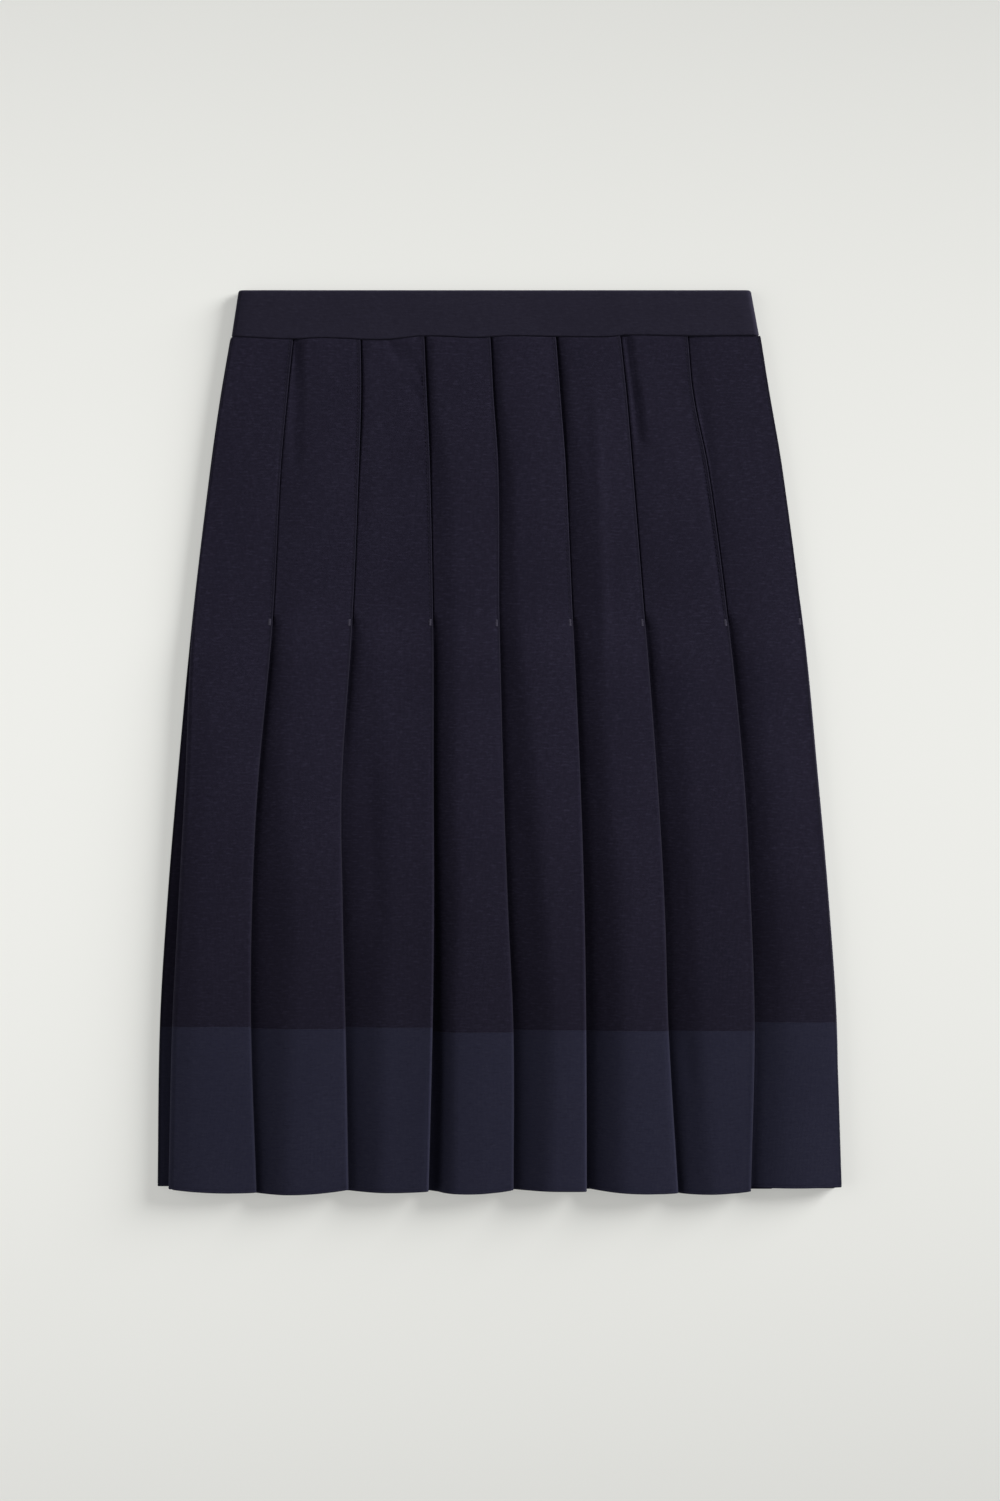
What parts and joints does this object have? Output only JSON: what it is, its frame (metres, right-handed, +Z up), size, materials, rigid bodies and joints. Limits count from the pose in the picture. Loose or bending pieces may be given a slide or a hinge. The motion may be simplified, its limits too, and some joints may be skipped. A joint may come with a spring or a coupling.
{
  "type": "knit skirt",
  "caption": "Knee-length knit skirt with one-way knife pleats, stitched down over the hip, a plain waistband and a lighter hem band, laid flat face up.",
  "frame": {"origin": "on the surface the skirt lies on, at the middle of its width and of its length from the top of the waistband to the hem", "axes": "+X to the right of someone who looks down on the front, the way the front's folds face; +Y along the skirt from the hem to the waistband; +Z up, out of the front"},
  "size_m": [0.4659, 0.6152, 0.0158],
  "materials": {
    "navy_body_knit": "fine-gauge knit, dark navy, soft and matt with fine flecks along the courses",
    "navy_waistband_knit": "fine-gauge double knit, dark navy, smooth and matt",
    "lighter_hem_knit": "fine-gauge knit, a lighter and bluer navy, smooth and matt"
  },
  "bodies": {
    "root": {"waistband": "navy_waistband_knit", "front_panel": "navy_body_knit", "back_panel": "navy_body_knit", "front_hem_band": "lighter_hem_knit", "back_hem_band": "lighter_hem_knit"}
  },
  "joints": []
}
